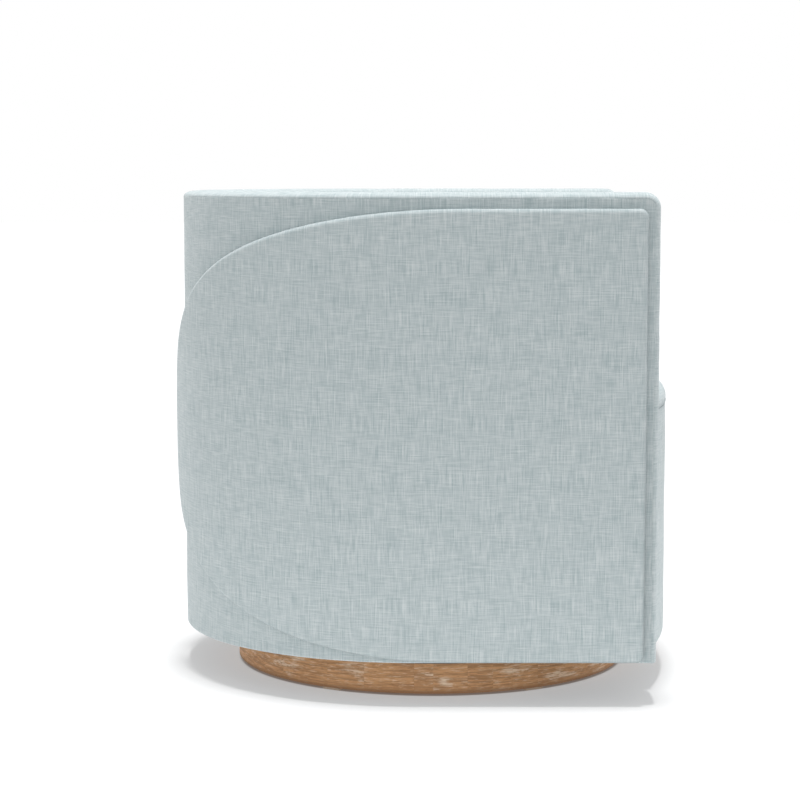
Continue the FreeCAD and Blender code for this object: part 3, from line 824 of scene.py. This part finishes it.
def strip_tree():
    """Crowned strip swept along a path, with its crown the way the path's attribute says."""
    graph, entry = new_tree("crowned_strip", {
        "Half width": 0.05, "Crown": 0.008, "Edge drop": 0.002, "Depth": 0.006,
        "Fullness": 2.5})
    half = entry.of("Half width")
    drop = entry.of("Edge drop")

    # Section: a loop whose upper half is the crown and lower half the flat underside
    loop = graph.add("GeometryNodeMeshCircle", None, {"Vertices": 48, "Radius": 1.0})
    width, side, _ = graph.split(graph.add("GeometryNodeInputPosition"))
    reach = graph.maths("ABSOLUTE", width)
    fall = graph.maths("MAXIMUM", 1.0 - reach ** entry.of("Fullness"), 0.0) ** 0.5
    over = (entry.of("Crown") + drop) * fall - drop
    under = drop * -1.0 - entry.of("Depth") * fall
    is_over = graph.maths("GREATER_THAN", side, 0.0)
    height = over * is_over + under * (1.0 - is_over)
    shaped = graph.add("GeometryNodeSetPosition", None, {
        "Geometry": loop, "Position": graph.vector(height, width * half, 0.0)})
    section = graph.add("GeometryNodeMeshToCurve", None, {"Mesh": shaped})
    section, across = captured(graph, section, side, "Across")

    # Path: the crown way is the curve's own normal
    path = graph.add("GeometryNodeMeshToCurve", None, {"Mesh": entry})
    way = graph.add("GeometryNodeInputNamedAttribute", {"data_type": "FLOAT_VECTOR"},
                    {"Name": "crown_way"})
    turned = graph.add("GeometryNodeSetCurveNormal", {"mode": "FREE"},
                       {"Curve": path, "Normal": way})
    length_along = graph.add("GeometryNodeSplineParameter").of("Length")
    turned, along = captured(graph, turned, length_along, "Along")
    swept = graph.add("GeometryNodeCurveToMesh", None, {
        "Curve": turned, "Profile Curve": section, "Fill Caps": True})
    mapped = graph.add("GeometryNodeStoreNamedAttribute",
                       {"data_type": "FLOAT2", "domain": "CORNER"},
                       {"Geometry": swept, "Name": "weave",
                        "Value": graph.vector(along, across, 0.0)})

    # Painted shade along the seams, less where the strip stands upright on the arm fronts
    level = graph.split(way)[2]
    edge_share = graph.maths("ABSOLUTE", across / half)
    seamed = graph.add("GeometryNodeStoreNamedAttribute",
                       {"data_type": "FLOAT", "domain": "POINT"},
                       {"Geometry": mapped, "Name": "painted_seam_shade",
                        "Value": edge_share ** 45.0 * (level * 0.3 + 0.05)})
    return finished_tree(graph, seamed, entry)


class CHAIR_OT_overlays(bpy.types.Operator):
    """Two padded overlays with elliptic ends, wrapped round the wall"""

    bl_idname = "chair.overlays"
    bl_label = "Side overlays"

    def execute(self, context):
        look = context.scene.chair_overlay
        softness = context.scene.chair_wall.softness
        rim = look.rim
        top = TOP_HEIGHT - look.top_reveal
        low = BODY_BOTTOM + look.bottom_reveal
        middle = (top + low) / 2
        half = (top - low) / 2
        # The overlay's middle lies outside the wall, so its bend is longer than the wall's
        outer_bend = BEND * (BARREL_RADIUS + look.thickness / 2) / BARREL_RADIUS
        total = outer_bend + BARREL_Y - (ARM_FRONT_Y + look.front_reveal)
        start = total - look.tip_gap - look.ellipse_length
        grid = tongue_grid(rim, start, look.ellipse_length - rim, half - rim,
                           look.front_corner - rim, step=0.0115)
        steps = edge_steps(rim, 0.0034, 0.0042, 6)
        # Painted seam shade, darker on the lower edge than on the upper one
        painted_edge_shade = np.clip(0.7 - border_of(grid)[:, 1] / half * 1.3, 0.4, 1.8)
        for side, word in ((1, "left"), (-1, "right")):

            def surface(run, across, lift, side=side):
                reach = total - run
                along = side * np.where(reach > outer_bend, reach - outer_bend + BEND,
                                        reach * BEND / outer_bend)
                base = wall_place(along, middle + across, BARREL_RADIUS)
                wave = ripple(base, softness * 1.4, 0.09, 5.0 + side)
                wave = np.where(lift > 0.004, wave - softness * 0.7, 0.0)
                return wall_place(along, middle + across, BARREL_RADIUS + lift + wave)

            piece = padded_mesh("overlay_" + word, grid, surface,
                                lambda s, t: 0 * s + look.thickness, steps, 0.0006, painted_edge_shade)
            upholster(piece, ["overlay_pad_" + word])
        return {"FINISHED"}


class CHAIR_OT_inside_pads(bpy.types.Operator):
    """Three crowned pads on the inside of the wall, seamed where the back meets the arms"""

    bl_idname = "chair.inside_pads"
    bl_label = "Inside pads"

    def execute(self, context):
        edge = 0.004
        low = SEAT_LOW - 0.13
        crown_low = SEAT_LOW + 0.039
        thickness = PAD_BACK_RADIUS - WELL_RADIUS
        bend = WELL_RADIUS * math.pi / 2
        arm = BARREL_Y - ARM_SEAM_Y
        sharp = 0.001
        corner = context.scene.chair_wall.roll_radius - edge
        spans = {
            "inside_back_pad": (-bend, bend, (sharp, sharp, sharp, sharp)),
            "inside_arm_pad_left": (bend, bend + arm, (sharp, sharp, sharp, corner)),
            "inside_arm_pad_right": (-bend - arm, -bend, (sharp, corner, sharp, sharp)),
        }

        def surface(along, height, lift):
            return wall_place(along, height, PAD_BACK_RADIUS - lift, WELL_RADIUS)

        for node, (first, last, radii) in spans.items():
            grid = panel_grid((first + edge, last - edge), (low + edge, SEAM_HEIGHT - edge),
                              radii, PAD_STEP)

            def crown(along, height, first=first, last=last):
                rise = np.clip((height - crown_low) / (SEAM_HEIGHT - crown_low), 0, 1)
                run = np.clip((along - first) / (last - first), 0, 1)
                swell = np.sin(math.pi * rise) ** 0.8
                swell *= np.clip(4 * run * (1 - run), 0, 1) ** 0.25
                base = surface(along, height, 0)
                return thickness + 0.007 * swell + ripple(base, 0.0015, 0.06, 2.0)

            steps = edge_steps(edge, thickness * 0.35, 0.001)
            piece = padded_mesh(node.replace("_pad", ""), grid, surface, crown, steps, 0.001)
            upholster(piece, [node])
        return {"FINISHED"}


class CHAIR_OT_seat(bpy.types.Operator):
    """Crowned tight seat, rolled over its bowed front edge"""

    bl_idname = "chair.seat"
    bl_label = "Seat"

    def execute(self, context):
        look = context.scene.chair_seat
        radius = SEAT_HALF
        depth = BARREL_Y - SEAT_FRONT_Y
        side = look.side_roll
        front = look.front_roll
        grid = tongue_grid(front, depth, radius - side, radius - side, 0.004, step=0.011)
        bow_y = SEAT_FRONT_Y + look.bow_radius

        def surface(run, across, height):
            edge = bow_y - np.sqrt(look.bow_radius ** 2 - across ** 2)
            share = np.clip(run / depth, None, 1.0)
            y = np.where(run < depth, edge + share * (BARREL_Y - edge),
                         BARREL_Y + run - depth)
            return np.stack([across, y, height], axis=-1)

        def crown(run, across):
            mid = (depth + radius) / 2
            s = (run - mid) / mid
            t = across / radius
            swell = np.clip(1 - s ** 2, 0, 1) ** 0.7 * np.clip(1 - t ** 2, 0, 1) ** 0.7
            base = surface(run, across, 0 * run)
            return look.edge_height + look.crown * swell + ripple(base, 0.0012, 0.08, 8.0)

        facing = np.clip(-outward(border_of(grid))[:, 0], 0, 1) ** 3
        roll = side + (front - side) * facing
        piece = rolled_pad("seat", grid, surface, crown, roll, waist=PANEL_TOP + 0.0008,
                           low=SEAT_LOW + 0.001)
        upholster(piece, ["seat_pad", "seat_foam"])
        return {"FINISHED"}


class CHAIR_OT_front_panel(bpy.types.Operator):
    """Bowed padded panel under the seat's front edge"""

    bl_idname = "chair.front_panel"
    bl_label = "Front panel"

    def execute(self, context):
        look = context.scene.chair_seat
        edge = 0.0028
        half = SEAT_HALF - edge
        bow_y = SEAT_FRONT_Y + look.bow_radius
        grid = panel_grid((-half, half), (BODY_BOTTOM + edge, PANEL_TOP - edge),
                          (0.001, 0.001, 0.001, 0.001), step=0.012)

        def surface(across, height, lift):
            radius = look.bow_radius - look.panel_thickness + lift
            return np.stack([across, bow_y - np.sqrt(radius ** 2 - across ** 2), height],
                            axis=-1)

        def crown(across, height):
            base = surface(across, height, 0)
            return look.panel_thickness + ripple(base, 0.001, 0.07, 6.0) - 0.0006

        steps = edge_steps(edge, look.panel_thickness * 0.3, 0.001)
        piece = padded_mesh("front_border", grid, surface, crown, steps, 0.001)
        upholster(piece, ["front_panel"])
        return {"FINISHED"}


def body_outline(turn):
    """Distance from the swivel axis to the edge of the body's underside, at a turn."""
    direction = Vector((math.cos(turn), math.sin(turn)))
    radius = BARREL_RADIUS - 0.008
    panel_inside = SEAT_FRONT_Y + 0.025
    panel_bow = 0.847
    low, high = 0.1, 0.6
    for _ in range(40):
        reach = (low + high) / 2
        x = direction.x * reach
        y = SWIVEL_Y + direction.y * reach
        bow = panel_inside + panel_bow - math.sqrt(max(panel_bow ** 2 - x * x, 0))
        front = bow if abs(x) < WELL_RADIUS else ARM_SEAM_Y + 0.01
        inside = abs(x) < radius and y > front
        inside = inside and (y < BARREL_Y or math.hypot(x, y - BARREL_Y) < radius)
        low, high = (reach, high) if inside else (low, reach)
    return low


class CHAIR_OT_dust_cloth(bpy.types.Operator):
    """Black cloth stapled under the body, open round the bearing"""

    bl_idname = "chair.dust_cloth"
    bl_label = "Dust cloth"

    def execute(self, context):
        low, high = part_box("dust_cover")
        hole = 0.1765
        count = 180
        steps = 8

        # Spokes of a lower and an upper row of points, from the hole to the edge
        points = []
        for k in range(count):
            turn = math.tau * k / count
            outer = body_outline(turn) - 0.001
            for layer in (0, 1):
                for m in range(steps + 1):
                    share = m / steps
                    reach = hole + (outer - hole) * share
                    sag = 0.0012 * math.sin(math.pi * share) * (1 - layer)
                    points.append((reach * math.cos(turn), SWIVEL_Y + reach * math.sin(turn),
                                   low[2] + 0.0004 + 0.0009 * layer - sag))
        row = 2 * (steps + 1)
        faces = []
        for k in range(count):
            a = k * row
            b = ((k + 1) % count) * row
            for m in range(steps):
                faces.append((a + m, b + m, b + m + 1, a + m + 1))
                c, d = a + steps + 1 + m, b + steps + 1 + m
                faces.append((c, c + 1, d + 1, d))
            faces.append((a, a + steps + 1, b + steps + 1, b))
            faces.append((a + steps, b + steps, b + 2 * steps + 1, a + 2 * steps + 1))
        mesh = bpy.data.meshes.new("dust_cloth")
        mesh.from_pydata(points, [], faces)
        piece = finished(mesh, "dust_cloth")
        wear(piece, felted_cloth("dust_cloth_black", (0.012, 0.012, 0.013)))
        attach(piece, "chair")
        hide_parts("dust_cover")

        corners = 132
        spots = []
        for k in range(corners):
            turn = math.tau * k / corners
            reach = body_outline(turn) - 0.010
            spots.append((reach * math.cos(turn), SWIVEL_Y + reach * math.sin(turn), low[2]))
        line = scene_object("staple_line", spots,
                            [(k, (k + 1) % corners) for k in range(corners)])
        steel = plated_metal("staple_wire", (0.55, 0.55, 0.56), 0.35)
        staples = grown(line, staple_tree(), "dust_staples", {
            "Spacing": 0.024, "Length": 0.010, "Width": 0.0012, "Height": 0.0008,
            "Material": steel})
        wear(staples, steel)
        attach(staples, "chair")
        return {"FINISHED"}


def staple_tree():
    """Short bars set along a line at an even spacing, each turned along the line."""
    graph, entry = new_tree("staples", {
        "Spacing": 0.02, "Length": 0.01, "Width": 0.001, "Height": 0.001})
    path = graph.add("GeometryNodeMeshToCurve", None, {"Mesh": entry})
    spots = graph.add("GeometryNodeCurveToPoints", {"mode": "LENGTH"},
                      {"Curve": path, "Length": entry.of("Spacing")})
    bar = graph.add("GeometryNodeMeshCylinder", None, {
        "Vertices": 8, "Side Segments": 1, "Radius": 0.5, "Depth": 1.0})
    size = graph.vector(entry.of("Width"), entry.of("Height"), entry.of("Length"))
    placed = graph.add("GeometryNodeInstanceOnPoints", None, {
        "Points": spots, "Instance": bar, "Rotation": spots.of("Rotation"), "Scale": size})
    return finished_tree(graph, placed, entry)


class CHAIR_OT_finishes(bpy.types.Operator):
    """Finishes of the plinth, bearing and frame"""

    bl_idname = "chair.finishes"
    bl_label = "Wood and metal finishes"

    def execute(self, context):
        kinds = {
            "limed_oak": limed_oak("limed_oak_ring"),
            "plywood": raw_wood("birch_plywood", (0.66, 0.51, 0.33), (0.47, 0.33, 0.19),
                                0.0013),
            "hardwood": raw_wood("sawn_hardwood", (0.56, 0.41, 0.25), (0.36, 0.24, 0.13)),
            "hardboard": raw_wood("bent_hardboard", (0.33, 0.21, 0.12), (0.22, 0.13, 0.07)),
            "webbing": felted_cloth("elastic_webbing", (0.16, 0.13, 0.10)),
            "foam": felted_cloth("foam", (0.70, 0.66, 0.52)),
            "race_steel": plated_metal("zinc_steel", (0.50, 0.50, 0.50), 0.38),
            "ball_steel": plated_metal("polished_steel", (0.62, 0.62, 0.63), 0.16),
            "cage_nylon": moulded_plastic("natural_nylon", (0.74, 0.72, 0.66), 0.5),
            "glide_plastic": moulded_plastic("glide_brown", (0.42, 0.32, 0.24), 0.6),
            "upholstery_fabric": bpy.data.materials["linen_weave"],
            "dust_cloth": bpy.data.materials["linen_weave"],
        }
        for part in frame["record"]["subparts"]:
            node = frame["nodes"][part["node"]]
            node.data.materials.clear()
            node.data.materials.append(kinds[part["material_slot"]])
        return {"FINISHED"}


def pale_floor(name):
    """White floor that keeps the chair's shadow. Seen straight it is even white with painted shade
    under the ring; to light rays it is a painted pool, paler near the chair, with a painted glow
    near the ring that lights the ring.
    """
    material = bpy.data.materials.new(name)
    material.use_nodes = True
    material.node_tree.nodes.clear()
    graph = Graph(material.node_tree)
    shown = graph.straight_rays()
    place = graph.add("ShaderNodeTexCoord").of("Object")
    far = graph.add("ShaderNodeVectorMath", {"operation": "LENGTH"}, {0: place}, out="Value")
    from_axis = graph.add("ShaderNodeVectorMath", {"operation": "DISTANCE"},
                          {0: place, 1: (0.0, SWIVEL_Y, 0.0)}, out="Value")
    # Painted pool of light: to light rays the floor is paler near the chair, so more light falls
    # back on its lower part
    painted_bounce_pool = graph.mix(graph.ramp(far, 1.5, 0.6), (0.62, 0.62, 0.62, 1.0),
                         (0.90, 0.90, 0.90, 1.0))
    paint = graph.add("ShaderNodeBsdfDiffuse", None, {
        "Color": graph.mix(shown, painted_bounce_pool, (0.50, 0.50, 0.50, 1.0))})
    # Painted shade: where it is seen, the floor under the ring glows less than the open floor
    outside_painted_ring_shade = graph.ramp(from_axis, RING_RADIUS - 0.004, RING_RADIUS + 0.001)
    # Painted glow: to light rays the floor near the ring glows, lighting the oak ring
    painted_glow_reach = graph.ramp(from_axis, RING_RADIUS + 0.12, RING_RADIUS + 0.02)
    painted_ring_glow = (1.0 - shown) * painted_glow_reach * 0.6
    glow = graph.add("ShaderNodeEmission", None, {
        "Color": (0.978, 0.993, 1.005, 1.0),
        "Strength": shown * (outside_painted_ring_shade * 0.32 + 0.07) + painted_ring_glow})
    both = graph.add("ShaderNodeAddShader", None, {0: paint, 1: glow})
    graph.add("ShaderNodeOutputMaterial", None, {"Surface": both})
    return material


def sun(name, energy, degrees):
    """Sun lamp as wide as an angle in degrees, shining straight down."""
    lamp = bpy.data.lights.new(name, "SUN")
    lamp.energy = energy
    lamp.angle = math.radians(degrees)
    piece = bpy.data.objects.new(name, lamp)
    bpy.context.scene.collection.objects.link(piece)
    return piece


class CHAIR_OT_stage(bpy.types.Operator):
    """Pale floor, even light with a soft lamp above, and the camera"""

    bl_idname = "chair.stage"
    bl_label = "Stage"

    def execute(self, context):
        look = context.scene.chair_stage
        scene = context.scene
        scene.view_settings.view_transform = "Standard"

        reach = 30.0
        floor = scene_object("floor", [(-reach, -reach, 0), (reach, -reach, 0),
                                       (reach, reach, 0), (-reach, reach, 0)],
                             [], [(0, 1, 2, 3)])
        floor.data.materials.append(pale_floor("pale_floor"))

        world = bpy.data.worlds.new("even_sky")
        scene.world = world
        world.use_nodes = True
        world.node_tree.nodes.clear()
        sky = Graph(world.node_tree)
        level = sky.straight_rays() * (1.0 - look.sky) + look.sky
        light = sky.add("ShaderNodeBackground", None, {
            "Color": (1.0, 1.0, 1.0, 1.0), "Strength": level})
        sky.add("ShaderNodeOutputWorld", None, {"Surface": light})

        sun("overhead", look.overhead, 9.0).location = (0.0, 0.0, 3.0)
        for word, source in (("back", (0.85, 0.52, 0.30)), ("front", (0.60, -0.80, 0.30))):
            rim = sun("rim_" + word, look.rim_light, 20.0)
            rim.rotation_euler = Vector(source).to_track_quat("Z", "Y").to_euler()

        eye = bpy.data.cameras.new("camera")
        eye.sensor_fit = "HORIZONTAL"
        eye.sensor_width = 36.0
        eye.lens = look.focal_pixels * eye.sensor_width / 800.0
        eye.clip_end = 100.0
        camera = bpy.data.objects.new("camera", eye)
        down = look.camera_tilt
        view_way = Vector((math.cos(down), 0.0, -math.sin(down)))
        up_way = Vector((math.sin(down), 0.0, math.cos(down)))
        turn = Matrix((view_way.cross(up_way), up_way, -view_way)).transposed()
        camera.matrix_world = Matrix.Translation(
            (-look.camera_distance, look.camera_side, look.camera_height)) @ turn.to_4x4()
        scene.collection.objects.link(camera)
        scene.camera = camera
        return {"FINISHED"}


OPERATORS = [
    CHAIR_OT_wall_cover,
    CHAIR_OT_top_strip,
    CHAIR_OT_overlays,
    CHAIR_OT_inside_pads,
    CHAIR_OT_seat,
    CHAIR_OT_front_panel,
    CHAIR_OT_dust_cloth,
    CHAIR_OT_finishes,
    CHAIR_OT_stage,
]


class CHAIR_PT_panel(bpy.types.Panel):
    """Lists the chair's pieces and settings"""

    bl_idname = "CHAIR_PT_panel"
    bl_label = "Barrel chair"
    bl_space_type = "VIEW_3D"
    bl_region_type = "UI"
    bl_category = "Barrel chair"

    def draw(self, context):
        for operator in OPERATORS:
            self.layout.operator(operator.bl_idname)
        for name, group in GROUPS.items():
            box = self.layout.box()
            box.label(text=group.__doc__)
            settings = getattr(context.scene, name)
            for key in group.__annotations__:
                box.prop(settings, key)


def register():
    for name, group in GROUPS.items():
        bpy.utils.register_class(group)
        setattr(bpy.types.Scene, name, bpy.props.PointerProperty(type=group))
    for operator in OPERATORS:
        bpy.utils.register_class(operator)
    bpy.utils.register_class(CHAIR_PT_panel)


def unregister():
    bpy.utils.unregister_class(CHAIR_PT_panel)
    for operator in reversed(OPERATORS):
        bpy.utils.unregister_class(operator)
    for name, group in GROUPS.items():
        delattr(bpy.types.Scene, name)
        bpy.utils.unregister_class(group)


def main():
    register()
    woven_fabric("linen_weave")
    for operator in OPERATORS:
        group, name = operator.bl_idname.split(".")
        getattr(getattr(bpy.ops, group), name)()


if __name__ == "__main__":
    main()
